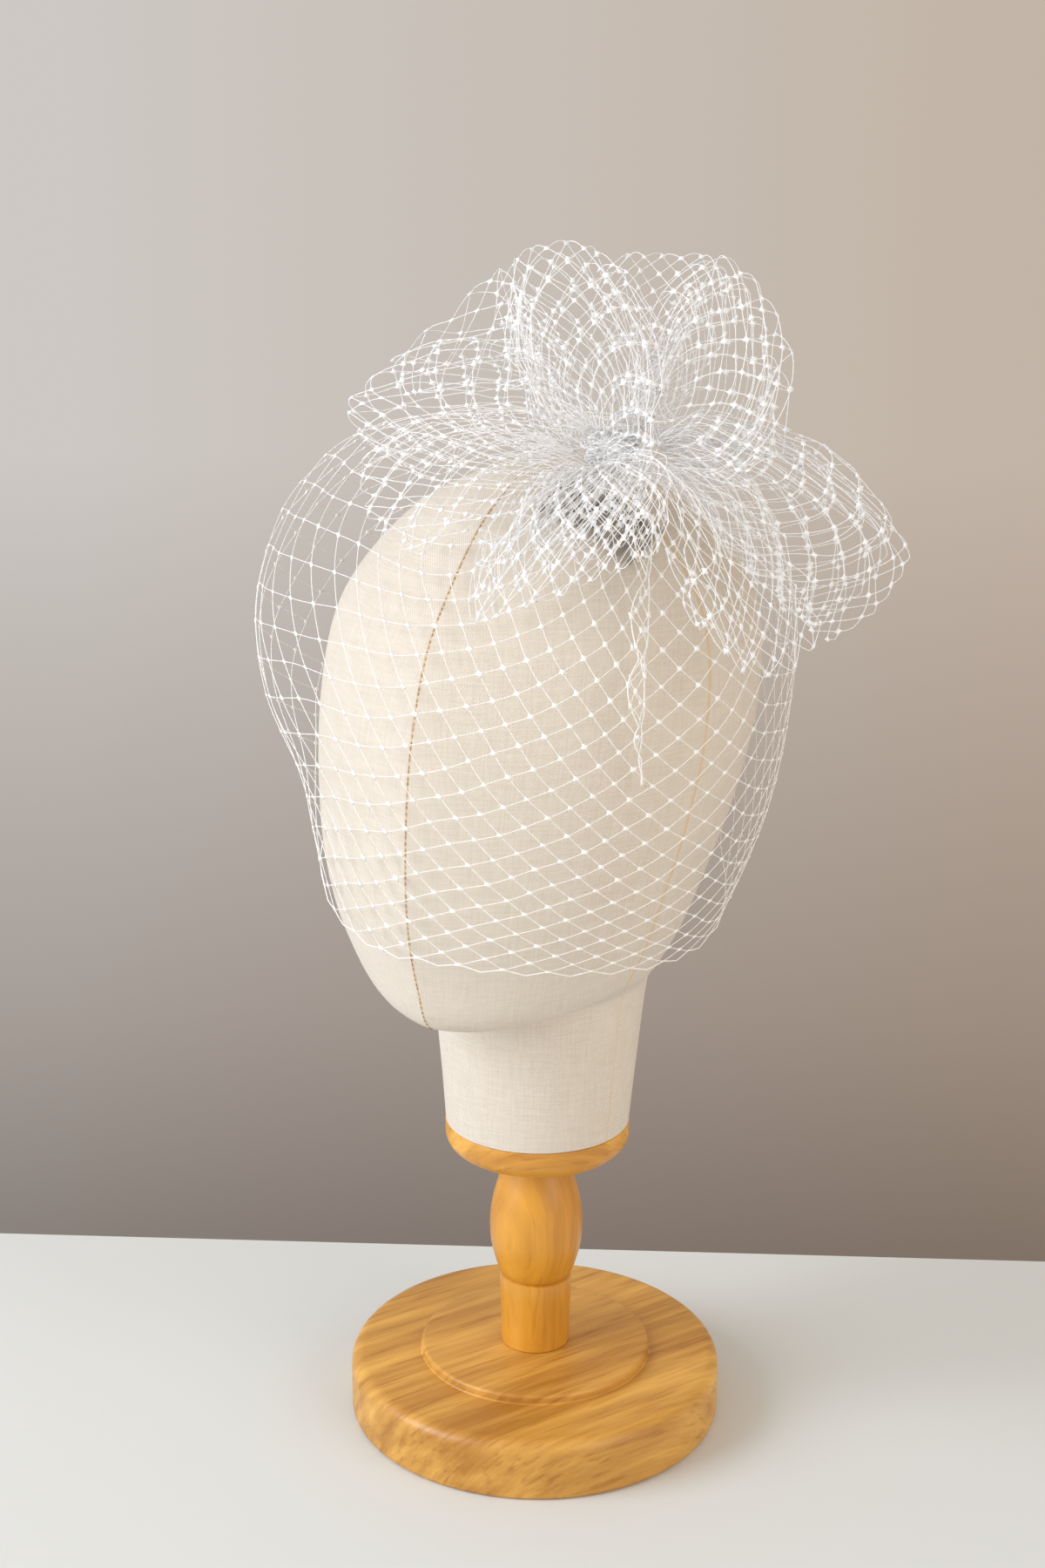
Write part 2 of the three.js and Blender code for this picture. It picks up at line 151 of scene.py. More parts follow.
# grain shared by the three turned pieces: long streaks along X of the vector it is given
def makeGrainGroup():
    tree = bpy.data.node_groups.new("turnedGrain", "ShaderNodeTree")
    inputs = (("Vector", "NodeSocketVector"), ("Light", "NodeSocketColor"), ("Dark", "NodeSocketColor"))
    outputs = (("Color", "NodeSocketColor"), ("Height", "NodeSocketFloat"))
    for way, sockets in (("INPUT", inputs), ("OUTPUT", outputs)):
        for name, kind in sockets:
            tree.interface.new_socket(name=name, in_out=way, socket_type=kind)
    enter, leave = tree.nodes.new("NodeGroupInput"), tree.nodes.new("NodeGroupOutput")
    stretch = addNode(tree, "ShaderNodeMapping", Scale=grainLook["stretch"])
    tree.links.new(enter.outputs["Vector"], stretch.inputs["Vector"])
    streaks = {}
    for name in ("broad", "fine", "pores"):
        texture = addNode(tree, "ShaderNodeTexNoise", **grainLook[name])
        tree.links.new(stretch.outputs[0], texture.inputs["Vector"])
        streaks[name] = texture.outputs["Fac"]
    mixed = mathNode(tree, "ADD", mathNode(tree, "MULTIPLY", streaks["broad"], grainLook["broadShare"]),
                     mathNode(tree, "MULTIPLY", streaks["fine"], grainLook["fineShare"]))
    dashes = rangeNode(tree, streaks["pores"], *grainLook["poreTones"], toMax=grainLook["poreDark"])
    tone = mathNode(tree, "SUBTRACT", rangeNode(tree, mixed, *grainLook["tones"]), dashes)
    tree.links.new(mixNode(tree, tone, enter.outputs["Dark"], enter.outputs["Light"]), leave.inputs["Color"])
    pits = mathNode(tree, "MULTIPLY", streaks["pores"], grainLook["poreHeight"])
    tree.links.new(mathNode(tree, "ADD", mixed, pits), leave.inputs["Height"])
    return tree


grainGroup = makeGrainGroup()
woodFinish = dict(coatRoughness=0.25, bump=0.12, bumpDepth=0.0006)
woodLooks = {
    "base": dict(light=toLinear(231, 177, 82), dark=toLinear(174, 116, 36), turn=(0.65, 0, 1.15),
                 shift=(0, 0, 0), roughness=0.5, coat=0.22),
    "post": dict(light=toLinear(224, 160, 50), dark=toLinear(184, 120, 26), turn=(0.4, math.pi / 2, 0.3),
                 shift=(0.3, 0.1, 0), roughness=0.42, coat=0.4),
    "collar": dict(light=toLinear(238, 179, 74), dark=toLinear(188, 125, 40), turn=(0.9, 0, 0.75),
                   shift=(0.7, 0.4, 0.2), roughness=0.45, coat=0.3),
}


def makeWood(name, look):
    material, tree, shader = newMaterial(name, Roughness=look["roughness"], Coat_Weight=look["coat"],
                                         Coat_Roughness=woodFinish["coatRoughness"])
    where = addNode(tree, "ShaderNodeTexCoord")
    turn = addNode(tree, "ShaderNodeMapping", vector_type="TEXTURE", Rotation=look["turn"], Location=look["shift"])
    grain = addNode(tree, "ShaderNodeGroup")
    grain.node_tree = grainGroup
    grain.inputs["Light"].default_value = look["light"]
    grain.inputs["Dark"].default_value = look["dark"]
    tree.links.new(where.outputs["Object"], turn.inputs["Vector"])
    tree.links.new(turn.outputs[0], grain.inputs["Vector"])
    tree.links.new(grain.outputs["Color"], shader.inputs["Base Color"])
    bumpInto(tree, shader, grain.outputs["Height"], woodFinish["bump"], woodFinish["bumpDepth"])
    return material


woods = {piece: makeWood(piece + "Wood", look) for piece, look in woodLooks.items()}

netLooks = {  # the same yarn; a faint painted glow stands in for the light that passes on through it where it lies many layers deep
    "cage": dict(bright=toLinear(250, 248, 245), dull=toLinear(234, 232, 229), paintedGlow=0.02),
    "rosette": dict(bright=toLinear(246, 246, 246), dull=toLinear(230, 230, 231), paintedGlow=0.03),
}
fibreLook = dict(roughness=0.42, sheen=0.25, scale=900.0, detail=2.0, stops=(0.3, 0.6), bump=0.3, bumpDepth=0.0002)


def makeNetMaterial(name, look):
    material, tree, shader = newMaterial(name, Roughness=fibreLook["roughness"], Sheen_Weight=fibreLook["sheen"])
    where = addNode(tree, "ShaderNodeTexCoord")
    fibre = addNode(tree, "ShaderNodeTexNoise", Scale=fibreLook["scale"], Detail=fibreLook["detail"])
    tree.links.new(where.outputs["Object"], fibre.inputs["Vector"])
    ramp = rampOf(tree, fibre.outputs["Fac"], list(zip(fibreLook["stops"], (look["dull"], look["bright"]))))
    tree.links.new(ramp.outputs["Color"], shader.inputs["Base Color"])
    # the yarn glows faintly in its own colour: painted light that lifts the shade where many strands lie over one
    # another
    tree.links.new(ramp.outputs["Color"], shader.inputs["Emission Color"])
    shader.inputs["Emission Strength"].default_value = look["paintedGlow"]
    bumpInto(tree, shader, fibre.outputs["Fac"], fibreLook["bump"], fibreLook["bumpDepth"])
    return material


netMaterials = {place: makeNetMaterial(place + "Yarn", look) for place, look in netLooks.items()}

linenLook = dict(
    pale=toLinear(234, 226, 214), mid=toLinear(200, 187, 169), fleck=toLinear(120, 96, 66), toneStops=(0.1, 0.7),
    pitch=0.9, weaveHeight=0.3, weaveTone=0.3, slubTone=0.4, slubStretch=(1.3, 0.07),
    slub=dict(Scale=0.9, Detail=3.0, Roughness=0.6), speck=dict(Scale=0.55, Detail=1.0), speckStops=(0.80, 0.84),
    roughness=0.92, sheen=0.15, bump=0.55, bumpDepth=0.0004, seamDepth=1.2,
    frontSeam=0.7, frontTint=toLinear(212, 188, 152), sideSeam=1.2, sideTint=toLinear(222, 190, 150),
)


def makeLinen():
    material, tree, shader = newMaterial("linenCover", Roughness=linenLook["roughness"],
                                         Sheen_Weight=linenLook["sheen"])
    where = addNode(tree, "ShaderNodeUVMap", uv_map="weave")  # millimetres along the weft and the warp
    axes = addNode(tree, "ShaderNodeSeparateXYZ")
    tree.links.new(where.outputs[0], axes.inputs[0])
    threads, slubs = [], []
    across, along = linenLook["slubStretch"]
    for axis, stretch in (("X", (across, along, 1.0)), ("Y", (along, across, 1.0))):
        turned = mathNode(tree, "MULTIPLY", axes.outputs[axis], 2 * math.pi / linenLook["pitch"])
        threads.append(mathNode(tree, "SINE", turned))
        lay = addNode(tree, "ShaderNodeMapping", Scale=stretch)
        slub = addNode(tree, "ShaderNodeTexNoise", **linenLook["slub"])
        tree.links.new(where.outputs[0], lay.inputs["Vector"])
        tree.links.new(lay.outputs[0], slub.inputs["Vector"])
        slubs.append(slub.outputs["Fac"])
    weave = mathNode(tree, "MULTIPLY", threads[0], threads[1])
    slubbed = mathNode(tree, "ADD", slubs[0], slubs[1])
    height = mathNode(tree, "ADD", mathNode(tree, "MULTIPLY", weave, linenLook["weaveHeight"]), slubbed)
    shade = mathNode(tree, "ADD", mathNode(tree, "MULTIPLY", slubbed, linenLook["slubTone"]),
                     mathNode(tree, "MULTIPLY", weave, linenLook["weaveTone"]))
    cloth = rampOf(tree, shade, list(zip(linenLook["toneStops"], (linenLook["mid"], linenLook["pale"]))))
    specks = addNode(tree, "ShaderNodeTexNoise", **linenLook["speck"])
    tree.links.new(where.outputs[0], specks.inputs["Vector"])
    black, white = (0, 0, 0, 1), (1, 1, 1, 1)
    fleck = rampOf(tree, specks.outputs["Fac"], list(zip(linenLook["speckStops"], (black, white))))
    colour = mixNode(tree, fleck.outputs["Color"], cloth.outputs["Color"], linenLook["fleck"])
    seamWay = addNode(tree, "ShaderNodeUVMap", uv_map="seam")
    seamAxes = addNode(tree, "ShaderNodeSeparateXYZ")
    tree.links.new(seamWay.outputs[0], seamAxes.inputs[0])
    for axis, seam in (("X", "front"), ("Y", "side")):
        near = rangeNode(tree, seamAxes.outputs[axis], fromMax=linenLook[seam + "Seam"], toMin=1.0, toMax=0.0)
        colour = mixNode(tree, near, colour, linenLook[seam + "Tint"])
        height = mathNode(tree, "SUBTRACT", height, mathNode(tree, "MULTIPLY", near, linenLook["seamDepth"]))
    tree.links.new(colour, shader.inputs["Base Color"])
    bumpInto(tree, shader, height, linenLook["bump"], linenLook["bumpDepth"])
    return material


linenMaterial = makeLinen()

threadLook = dict(dark=toLinear(168, 128, 82), light=toLinear(204, 168, 120), metallic=0.0, roughness=0.7,
                  scale=400.0, detail=2.0, stops=(0.35, 0.65))
combLook = dict(dark=toLinear(138, 134, 129), light=toLinear(174, 170, 165), metallic=0.35, roughness=0.5,
                scale=260.0, detail=3.0, stops=(0.35, 0.65))


def makeMottled(name, look):
    material, tree, shader = newMaterial(name, Metallic=look["metallic"], Roughness=look["roughness"])
    where = addNode(tree, "ShaderNodeTexCoord")
    mottle = addNode(tree, "ShaderNodeTexNoise", Scale=look["scale"], Detail=look["detail"])
    tree.links.new(where.outputs["Object"], mottle.inputs["Vector"])
    tint = rampOf(tree, mottle.outputs["Fac"], list(zip(look["stops"], (look["dark"], look["light"]))))
    tree.links.new(tint.outputs["Color"], shader.inputs["Base Color"])
    return material


threadMaterial = makeMottled("seamThread", threadLook)
combMaterial = makeMottled("combMetal", combLook)
print("materials made")

standSizes = dict(
    sides=112, sharp=38, baseRadius=80, baseTop=26, topRound=5.5, footRound=2.5,
    stepRadius=49.5, stepTop=30, stepRound=1.6, stepFillet=0.5,
    collarRadius=39, collarBottom=121.5, collarTop=134.7, collarRound=8, collarFoot=29, collarStart=-80, collarEdge=0.4,
)
postProfile = [  # radius and height up the post
    (14.7, 30.3), (14.85, 38), (15.0, 45), (15.3, 53), (15.6, 60.6), (15.4, 61.5), (14.2, 62.2), (15.4, 63.0),
    (16.3, 65.2), (17.5, 69), (18.6, 73), (19.4, 77), (19.85, 81), (20.0, 85), (19.85, 89), (19.4, 93.5),
    (18.7, 97.5), (17.7, 101.5), (16.5, 106), (15.2, 110), (13.8, 116), (12.5, 121.2),
]


def roundCorner(centreR, centreZ, radius, start, stop, steps=8):
    turns = [math.radians(start + (stop - start) * i / steps) for i in range(steps + 1)]
    return [(centreR + radius * math.cos(t), centreZ + radius * math.sin(t)) for t in turns]


def baseProfile(s):
    return ([(0, 0)]
            + roundCorner(s["baseRadius"] - s["footRound"], s["footRound"], s["footRound"], -90, 0, 5)
            + roundCorner(s["baseRadius"] - s["topRound"], s["baseTop"] - s["topRound"], s["topRound"], 0, 90)
            + [(s["stepRadius"] + s["stepFillet"], s["baseTop"]), (s["stepRadius"], s["baseTop"] + s["stepFillet"])]
            + roundCorner(s["stepRadius"] - s["stepRound"], s["stepTop"] - s["stepRound"], s["stepRound"], 0, 90, 5)
            + [(0, s["stepTop"])])


def collarProfile(s):
    inner, middle = s["collarRadius"] - s["collarRound"], s["collarBottom"] + s["collarRound"]
    return ([(0, s["collarBottom"]), (s["collarFoot"], s["collarBottom"])]
            + roundCorner(inner, middle, s["collarRound"], s["collarStart"], 0)
            + [(s["collarRadius"], s["collarTop"] - s["collarEdge"]),
               (s["collarRadius"] - s["collarEdge"], s["collarTop"]), (0, s["collarTop"])])


def spinPiece(name, profile, material, node):
    bm = bmesh.new()
    line = [bm.verts.new((r * mm, 0, z * mm)) for r, z in profile]
    edges = [bm.edges.new(pair) for pair in zip(line, line[1:])]
    bmesh.ops.spin(bm, geom=line + edges, cent=(0, 0, 0), axis=(0, 0, 1), angle=2 * math.pi,
                   steps=standSizes["sides"], use_merge=True)
    bmesh.ops.remove_doubles(bm, verts=bm.verts[:], dist=weld)
    bmesh.ops.recalc_face_normals(bm, faces=bm.faces[:])
    piece = placeObject(name, bm, "wood", node)
    piece.data.materials.append(material)
    piece.data.shade_smooth()
    piece.data.set_sharp_from_angle(angle=math.radians(standSizes["sharp"]))


spinPiece("turned_base", baseProfile(standSizes), woods["base"], "stand_base")
postEnds = [(0, postProfile[0][1])], [(0, postProfile[-1][1])]
spinPiece("turned_post", postEnds[0] + postProfile + postEnds[1], woods["post"], "stand_post")
spinPiece("turned_collar", collarProfile(standSizes), woods["collar"], "stand_collar")
print("stand turned")

headForm = dict(keelPower=4, neckFade=0.5, around=128, perSection=7, topY=6, topZ=412, sharp=60,
                gores=(0, 78.75, 180, 281.25, 360), goreGap=300, weaveTurn=0.7)
# front, frontZ, side, sideZ, sideY, back and backZ in millimetres from the neck up, then how sharp the front seam is
headSections = [
    (38.8, 135, 38.8, 135, 0, 38.8, 135, 0),
    (40.5, 165, 41.5, 165, 0, 42, 165, 0),
    (43, 192, 45, 196, -1, 46, 198, 0),
    (49, 197, 49, 205, -4, 47.5, 214, 0.03),
    (80, 201, 58, 215, -14, 49, 228, 0.1),
    (90, 221, 69, 233, -20, 53, 243, 0.15),
    (96.5, 248, 77, 257, -18, 62, 260, 0.16),
    (97.5, 280, 83, 284, -11, 77, 284, 0.16),
    (94, 315, 86.5, 318, -3, 92, 318, 0.15),
    (84, 348, 84, 351, 1, 95, 350, 0.14),
    (68, 371, 73, 374, 3, 86, 375, 0.1),
    (45, 394, 51, 396, 4, 62, 397, 0.05),
    (19, 409, 24, 409.5, 5, 33, 409.5, 0),
]


def alongRows(rows, column, place):
    last = len(rows) - 1
    i = min(int(place), last - 1)
    t = place - i
    a, b, c, d = (rows[min(max(k, 0), last)][column] for k in (i - 1, i, i + 1, i + 2))
    return b + 0.5 * t * (c - a + t * (2 * a - 5 * b + 4 * c - d + t * (3 * (b - c) + d - a)))


def headSkin(place, turn):
    front, frontZ, side, sideZ, sideY, back, backZ, keel = (alongRows(headSections, k, place) for k in range(8))
    s, c = math.sin(turn), math.cos(turn)
    reach, endZ = (front + sideY, frontZ) if c > 0 else (back - sideY, backZ)
    ridge = keel * abs(s) * c ** headForm["keelPower"] if c > 0 else 0
    return Vector((side * s, sideY - reach * (c - ridge), endZ * c * c + sideZ * s * s)) * mm


seams = dict(turns=(0,), chin=4, stitch=1.25, pitch=2.25, thick=0.32, steps=40, lift=0.1)


def makeHead():
    rows = (len(headSections) - 1) * headForm["perSection"]
    bm = bmesh.new()
    weave, seam = bm.loops.layers.uv.new("weave"), bm.loops.layers.uv.new("seam")
    bmesh.ops.create_grid(bm, x_segments=headForm["around"], y_segments=rows + 2, size=0.5)
    heights = [0.0]
    for r in range(rows):
        a, b = (headSkin(k / headForm["perSection"], headForm["weaveTurn"]) for k in (r, r + 1))
        heights.append(heights[-1] + (b - a).length / mm)
    limits = [math.radians(d) for d in headForm["gores"]]
    neckTop = heights[seams["chin"] * headForm["perSection"]]
    places = {}
    for vert in bm.verts:
        turn = (vert.co.x + 0.5) * 2 * math.pi
        row = round((vert.co.y + 0.5) * (rows + 2)) - 1
        if row < 0:
            vert.co = (0, 0, headSections[0][1] * mm)
        elif row > rows:
            vert.co = (0, headForm["topY"] * mm, headForm["topZ"] * mm)
        else:
            vert.co = headSkin(row / headForm["perSection"], turn)
        places[vert] = (turn, math.hypot(vert.co.x, vert.co.y) / mm, heights[min(max(row, 0), rows)])
    for face in bm.faces:
        middle = sum(places[v][0] for v in face.verts) / len(face.verts)
        gore = next(i for i in range(len(limits) - 1) if limits[i] <= middle <= limits[i + 1])
        goreMiddle = (limits[gore] + limits[gore + 1]) / 2
        for loop in face.loops:  # millimetres across each gore and up it, then to the front seam and to the others
            turn, radius, height = places[loop.vert]
            loop[weave].uv = ((turn - goreMiddle) * radius + gore * headForm["goreGap"], height)
            shut = headForm["neckFade"] if height < neckTop else 0  # the seams hardly show on the neck
            ways = (min(turn, 2 * math.pi - turn), min(abs(turn - d) for d in limits[1:-1]))
            loop[seam].uv = [way * radius + shut for way in ways]
    bmesh.ops.remove_doubles(bm, verts=bm.verts[:], dist=weld)
    bmesh.ops.recalc_face_normals(bm, faces=bm.faces[:])
    piece = placeObject("linen_form", bm, "linen", "head_form")
    piece.data.materials.append(linenMaterial)
    piece.data.shade_smooth()
    piece.data.set_sharp_from_angle(angle=math.radians(headForm["sharp"]))
    for edge in piece.data.edges:  # the face panels meet in a crease
        ends = [piece.data.vertices[k].co for k in edge.vertices]
        if all(abs(end.x) < weld and end.y < 0 for end in ends):
            edge.use_edge_sharp = True


makeHead()


def makeSeams():
    steps, lift = seams["steps"], seams["lift"] * mm
    size = Matrix.Diagonal((seams["stitch"] * mm, seams["thick"] * mm, seams["thick"] * mm, 1))
    bm = bmesh.new()
    for degrees in seams["turns"]:
        turn = math.radians(degrees)
        line = [headSkin(i / steps, turn) for i in range(seams["chin"] * steps, (len(headSections) - 1) * steps + 1)]
        travelled, due = 0.0, 0.0
        for a, b in zip(line, line[1:]):
            travelled += (b - a).length / mm
            if travelled < due:
                continue
            due += seams["pitch"]
            way = (b - a).normalized()
            side = Vector((math.cos(turn), math.sin(turn), 0))
            out = side.cross(way).normalized()
            if out.dot(b - Vector((0, 0, b.z))) < 0:
                out = -out
            axes = Matrix((way, out.cross(way), out)).transposed().to_4x4()
            bmesh.ops.create_cube(bm, size=1, matrix=Matrix.Translation(b + out * lift) @ axes @ size)
    piece = placeObject("form_stitching", bm, "linen")
    piece.data.materials.append(threadMaterial)


makeSeams()
print("head form made")

yarn = dict(
    strand=9.8, thick=0.35, hemThick=0.54, cuts=3, shut=0.94, probe=0.004,
    knotArm=1.85, knotWaist=0.54, knotDepth=0.42, knotVary=0.12, knotLeast=0.3, knotSpan=7,
    cover=0.305,  # the share of the outline that is yarn, when the flat net is drawn nearly shut
)


def makeKnot():  # a flat four-armed star, its arms on the diagonals
    bm = bmesh.new()
    bmesh.ops.create_uvsphere(bm, u_segments=8, v_segments=3, radius=1)
    for vert in bm.verts:
        turn = math.atan2(vert.co.y, vert.co.x)
        arm = yarn["knotWaist"] + (1 - yarn["knotWaist"]) * abs(math.sin(2 * turn))
        vert.co.x *= yarn["knotArm"] * arm * mm
        vert.co.y *= yarn["knotArm"] * arm * mm
        vert.co.z *= yarn["knotDepth"] * mm
    mesh = bpy.data.meshes.new("knotShape")
    bm.to_mesh(mesh)
    bm.free()
    return bpy.data.objects.new("knotShape", mesh)


knotShape = makeKnot()


def makeYarnTool():
    tree = bpy.data.node_groups.new("netYarnTool", "GeometryNodeTree")
    tree.interface.new_socket(name="Geometry", in_out="INPUT", socket_type="NodeSocketGeometry")
    tree.interface.new_socket(name="Geometry", in_out="OUTPUT", socket_type="NodeSocketGeometry")
    enter, leave = tree.nodes.new("NodeGroupInput"), tree.nodes.new("NodeGroupOutput")
    link = tree.links.new

    def attribute(name, kind):
        node = addNode(tree, "GeometryNodeInputNamedAttribute", data_type=kind)
        node.inputs["Name"].default_value = name
        return node.outputs["Attribute"]

    onHem = attribute("hem", "FLOAT")
    offHem = addNode(tree, "FunctionNodeBooleanMath", operation="NOT")
    link(onHem, offHem.inputs[0])
    join = addNode(tree, "GeometryNodeJoinGeometry")
    for selection, thick in ((offHem.outputs[0], yarn["thick"]), (onHem, yarn["hemThick"])):
        strand = addNode(tree, "GeometryNodeMeshToCurve")
        ring = addNode(tree, "GeometryNodeCurvePrimitiveCircle")
        ring.inputs["Resolution"].default_value = 4
        ring.inputs["Radius"].default_value = thick * mm / 2
        tube = addNode(tree, "GeometryNodeCurveToMesh")
        tube.inputs["Fill Caps"].default_value = True
        link(enter.outputs[0], strand.inputs["Mesh"])
        link(selection, strand.inputs["Selection"])
        link(strand.outputs[0], tube.inputs["Curve"])
        link(ring.outputs[0], tube.inputs["Profile Curve"])
        link(tube.outputs[0], join.inputs[0])
    knot = addNode(tree, "GeometryNodeObjectInfo")
    knot.inputs["Object"].default_value = knotShape
    facing = addNode(tree, "FunctionNodeAxesToRotation")
    facing.primary_axis, facing.secondary_axis = "Z", "X"
    link(attribute("knotOut", "FLOAT_VECTOR"), facing.inputs[0])
    link(attribute("knotAlong", "FLOAT_VECTOR"), facing.inputs[1])
    tie = addNode(tree, "GeometryNodeInstanceOnPoints")
    link(enter.outputs[0], tie.inputs["Points"])
    link(attribute("knot", "FLOAT"), tie.inputs["Selection"])
    link(knot.outputs["Geometry"], tie.inputs["Instance"])
    link(facing.outputs[0], tie.inputs["Rotation"])
    link(attribute("knotSize", "FLOAT_VECTOR"), tie.inputs["Scale"])
    real = addNode(tree, "GeometryNodeRealizeInstances")
    link(tie.outputs[0], real.inputs[0])
    link(real.outputs[0], join.inputs[0])
    smooth = addNode(tree, "GeometryNodeSetShadeSmooth")
    link(join.outputs[0], smooth.inputs[0])
    link(smooth.outputs[0], leave.inputs[0])
    return tree


yarnTool = makeYarnTool()


def layNet(name, layers, seed, nodes, look):
    rng = random.Random(seed)
    whole = bmesh.new()
    for cells, place, selvedges in layers:
        strands = netStrands(cells, place, selvedges, rng)
        whole.from_mesh(strands)
        bpy.data.meshes.remove(strands)
    piece = placeObject(name, whole, "net", *nodes)
    piece.data.materials.append(netMaterials[look])
    print(name, len(piece.data.polygons), "faces")
    return piece


def netStrands(cells, place, selvedges, rng):
    columns, rows = cells
    bm = bmesh.new()
    isKnot, isHem = bm.verts.layers.float.new("knot"), bm.edges.layers.float.new("hem")
    out, along, size = (bm.verts.layers.float_vector.new(n) for n in ("knotOut", "knotAlong", "knotSize"))
    bmesh.ops.create_grid(bm, x_segments=columns, y_segments=rows, size=0.5)
    squares = bm.edges[:]
    bmesh.ops.poke(bm, faces=bm.faces[:])
    bmesh.ops.delete(bm, geom=bm.faces[:], context="FACES_ONLY")

    def sideOf(edge, flush=1e-5):
        (ax, ay, _), (bx, by, _) = (v.co for v in edge.verts)
        sides = (("left", ax + 0.5, bx + 0.5), ("right", ax - 0.5, bx - 0.5),
                 ("bottom", ay + 0.5, by + 0.5), ("top", ay - 0.5, by - 0.5))
        return next((side for side, a, b in sides if max(abs(a), abs(b)) < flush), None)

    for edge in squares:  # only the diagonals and the selvedges stay
        if sideOf(edge) not in selvedges:
            bm.edges.remove(edge)
    bmesh.ops.subdivide_edges(bm, edges=bm.edges[:], cuts=yarn["cuts"])
    for edge in bm.edges:
        edge[isHem] = 1.0 if sideOf(edge) in selvedges else 0.0
    spots = {vert: (vert.co.x + 0.5, vert.co.y + 0.5) for vert in bm.verts}
    probe, least, vary = yarn["probe"], yarn["knotLeast"], yarn["knotVary"]
    for vert, (u, v) in spots.items():
        vert.co = place(u, v)
        a, b = 2 * u * columns, 2 * v * rows
        if max(abs(a - round(a)), abs(b - round(b))) > 0.01 or (round(a) + round(b)) % 2:
            continue  # a point along a strand, not a crossing
        lowU, highU, lowV, highV = max(u - probe, 0), min(u + probe, 1), max(v - probe, 0), min(v + probe, 1)
        alongU = place(highU, v) - place(lowU, v)
        alongV = place(u, highV) - place(u, lowV)
        vert[isKnot] = 1.0
        vert[out] = alongU.cross(alongV).normalized()
        vert[along] = alongU.normalized()
        spanU = alongU.length / (highU - lowU) / columns
        spanV = alongV.length / (highV - lowV) / rows
        mean = math.hypot(spanU, spanV) / math.sqrt(2)
        narrow = min(spanU, spanV) / (yarn["knotSpan"] * mm)
        gathered = min(1.0, least + (1 - least) * narrow)  # gathered net has smaller knots
        scale = rng.uniform(1 - vary, 1 + vary) * gathered
        vert[size] = Vector((spanU / mean, spanV / mean, 1)) * scale
    base = bpy.data.meshes.new("strands")
    bm.to_mesh(base)
    bm.free()
    carrier = bpy.data.objects.new("strands", base)
    bpy.context.scene.collection.objects.link(carrier)
    carrier.modifiers.new("yarn", "NODES").node_group = yarnTool
    made = bpy.data.meshes.new_from_object(carrier.evaluated_get(bpy.context.evaluated_depsgraph_get()))
    bpy.data.objects.remove(carrier)
    bpy.data.meshes.remove(base)
    return made


cageNet = dict(
    rows=17, columns=dict(front=15, back=15), startDegrees=-128, joinDegrees=52.5, endDegrees=230.8,
    hemClose=0.396, hemReach=0.378, sink=0.081, sinkTurn=-0.403, crowd=0.95, crowdMost=0.7, backCrowd=0.5,
    drift=0.12, driftScale=0.55, driftFade=(8, 10, 6), puff=1.0, puffScale=28, puffLeast=-0.3,
    scallop=1.8, pleats=10, pleatReach=90,
)
# rings of the cage from the hem up to the gather, in millimetres: the middle, the pleats' depth,
# reach and height at the front, left, back and right, then the shares that bulge at the brow and the nape
cageRings = [
    (0, -18, 0.2, -99, 237.5, 80, 231, 78, 268, -80.5, 262, -0.02, 0.015),
    (0, -12, 0.2, -100.5, 256, 88, 254, 90, 288, -84, 276, -0.005, 0.015),
    (0, -5, 0.3, -102, 286, 94, 285, 102, 311, -92.5, 297, 0.005, 0.015),
    (0, 0, 0.5, -99.5, 320, 97, 321, 112, 337, -111, 324, 0.05, 0.015),
    (0, 2, 0.8, -88.5, 352, 95.5, 354, 113, 364, -120, 358, 0.065, 0.015),
    (2, 3, 1.2, -66, 382, 86, 382, 104, 393, -115, 389, 0.05, 0.015),
    (15, 0, 1.4, -48, 403, 74, 402, 78, 419, -86, 418, 0.03, 0.01),
    (30, -7, 1.2, -38, 412, 65, 411, 36, 428, -34, 429, 0, 0),
    (47, -16, 0, -29.5, 413, 63, 412, -5, 416, 30, 416, 0, 0),
]


def cagePoint(place, turn):
    row = [alongRows(cageRings, k, place) for k in range(13)]
    midX, midY, pleat, front, frontZ, left, leftZ, back, backZ, right, rightZ, browBulge, napeBulge = row
    s, c = math.sin(turn), math.cos(turn)
    reachX, sideZ = (left - midX, leftZ) if s > 0 else (midX - right, rightZ)
    reachY, endZ = (midY - front, frontZ) if c > 0 else (back - midY, backZ)
    grow = 1 + pleat / cageNet["pleatReach"] * math.cos(cageNet["pleats"] * turn)
    if s * c < 0:
        grow += math.sin(2 * turn) ** 2 * (browBulge if c > 0 else napeBulge)
    return Vector((midX + reachX * s * grow, midY - reachY * c * grow, endZ * c * c + sideZ * s * s)) * mm


def cellPlaces(curve, widthAt, samples):  # strands keep their length, so cells grow longer where they are drawn narrow
    strand = yarn["strand"] * mm
    rows = [0.0]
    points = [curve(i / samples) for i in range(samples + 1)]
    for i, (a, b) in enumerate(zip(points, points[1:])):
        half = min(widthAt((i + 0.5) / samples) / 2, strand * yarn["shut"])
        rows.append(rows[-1] + (b - a).length / (2 * math.sqrt(strand ** 2 - half * half)))
    return [r / rows[-1] for r in rows], rows[-1]


def placeAt(lengths, share):
    for i in range(1, len(lengths)):
        if share <= lengths[i]:
            step = max(lengths[i] - lengths[i - 1], 1e-9)
            return (i - 1 + (share - lengths[i - 1]) / step) / (len(lengths) - 1)
    return 1.0


cageTops = len(cageRings) - 1
cageTurns, cageSteps = 72, 40  # where the cage is measured, around it and up it
cageHeart = Vector((0, 0, 0.31))  # net lifts off straight away from here


def cageRows(turn):
    points = [cagePoint(i / cageSteps * cageTops, turn) for i in range(cageSteps + 1)]
    lengths = [0.0]
    for a, b in zip(points, points[1:]):
        lengths.append(lengths[-1] + (b - a).length)
    return [way / lengths[-1] for way in lengths]


cageLengths = [cageRows(2 * math.pi * k / cageTurns) for k in range(cageTurns)]


